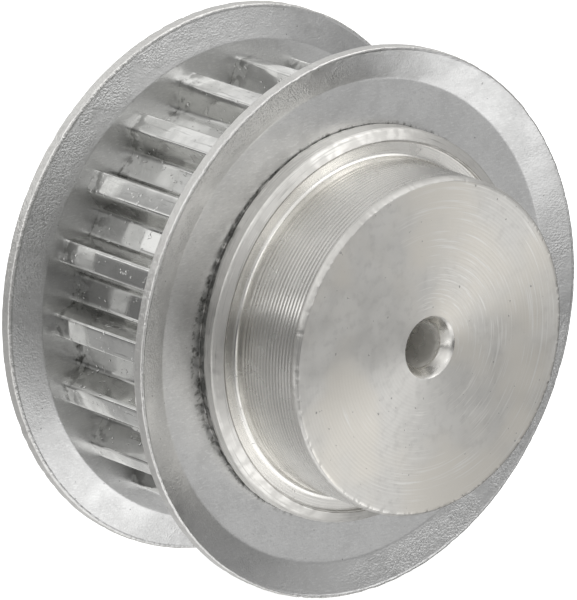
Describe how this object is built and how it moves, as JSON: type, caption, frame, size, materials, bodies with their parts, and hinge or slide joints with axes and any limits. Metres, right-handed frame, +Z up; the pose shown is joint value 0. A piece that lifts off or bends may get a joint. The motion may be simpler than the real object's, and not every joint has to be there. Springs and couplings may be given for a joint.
{
  "type": "timing belt pulley",
  "caption": "Toothed timing belt pulley with two pressed side flanges and a one-sided hub with a pilot bore.",
  "frame": {"origin": "on the bore's axis, in the middle of the belt track between the flanges", "axes": "+Y along the bore towards the far side, with the hub at -Y; +Z up; a gap between two teeth is centred on +X"},
  "size_m": [0.036, 0.0209, 0.036],
  "materials": {
    "machined_aluminium": "bright turned and hobbed aluminium with fine tool marks",
    "flange_sheet": "matt pressed aluminium sheet with a fine grain"
  },
  "bodies": {
    "root": {"toothed_body": "machined_aluminium", "front_flange": "flange_sheet", "rear_flange": "flange_sheet"}
  },
  "joints": []
}
